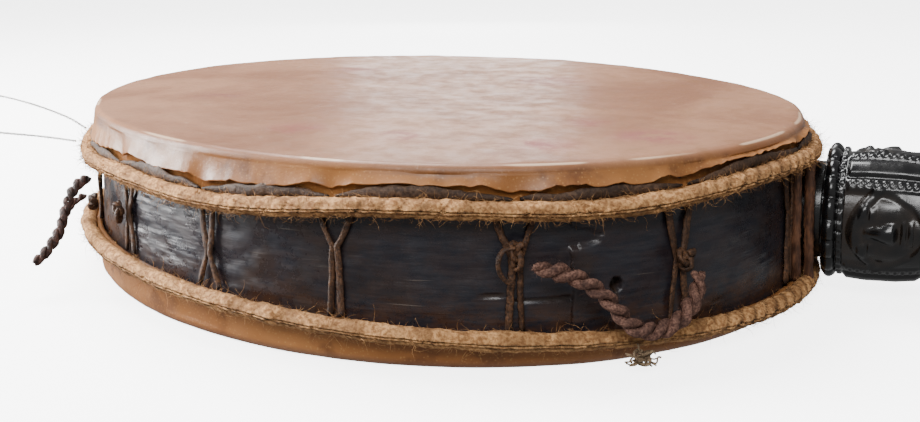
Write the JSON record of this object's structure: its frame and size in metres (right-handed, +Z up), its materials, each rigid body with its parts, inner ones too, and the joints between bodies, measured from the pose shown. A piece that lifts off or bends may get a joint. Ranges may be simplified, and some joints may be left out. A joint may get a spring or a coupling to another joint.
{
  "type": "ceremonial ritual drum",
  "caption": "Two-headed round frame drum, lying on one head, with laced hides on a bent-wood shell and a carved dagger-shaped handle.",
  "frame": {"origin": "middle of the drum on the underside of the lower skin, where the drum rests", "axes": "+Z up through the drum, +X along the handle away from the drum"},
  "size_m": [0.725, 0.3768, 0.086],
  "materials": {
    "shell_wood": "dark, smoked and hand-polished",
    "drum_skin": "stretched rawhide, worn and stained",
    "hide_roll": "fuzzy rawhide roll",
    "thong": "dried hide thong",
    "fibre": "frayed plant fibre",
    "hide_cord": "two-ply twisted, dry and stiff",
    "wire": "dull twisted wire",
    "handle_wood": "black, carved and glossy"
  },
  "bodies": {
    "root": {"wooden_shell": "shell_wood", "upper_skin": "drum_skin", "lower_skin": "drum_skin", "upper_hoop": "hide_roll", "lower_hoop": "hide_roll", "lacing_01": "thong", "lacing_02": "thong", "lacing_03": "thong", "lacing_04": "thong", "lacing_05": "thong", "lacing_06": "thong", "lacing_07": "thong", "lacing_08": "thong", "lacing_09": "thong", "lacing_10": "thong", "lacing_11": "thong", "lacing_12": "thong", "lacing_13": "thong", "lacing_14": "thong", "lacing_15": "thong", "lacing_16": "thong", "thong_run_01": "thong", "thong_run_02": "thong", "thong_run_03": "thong", "thong_run_04": "thong", "thong_run_05": "thong", "thong_run_06": "thong", "thong_run_07": "thong", "thong_run_08": "thong", "thong_run_09": "thong", "thong_run_10": "thong", "thong_run_11": "thong", "thong_run_12": "thong", "thong_run_13": "thong", "thong_run_14": "thong", "thong_run_15": "thong", "thong_run_16": "thong", "knot_front_cord": "thong", "knot_bow": "thong", "knot_side_cord": "thong", "knot_left": "thong", "fibre_tuft": "fibre", "front_cord": "hide_cord", "side_cord": "hide_cord", "hanging_wire": "wire", "handle": "handle_wood"}
  },
  "joints": []
}
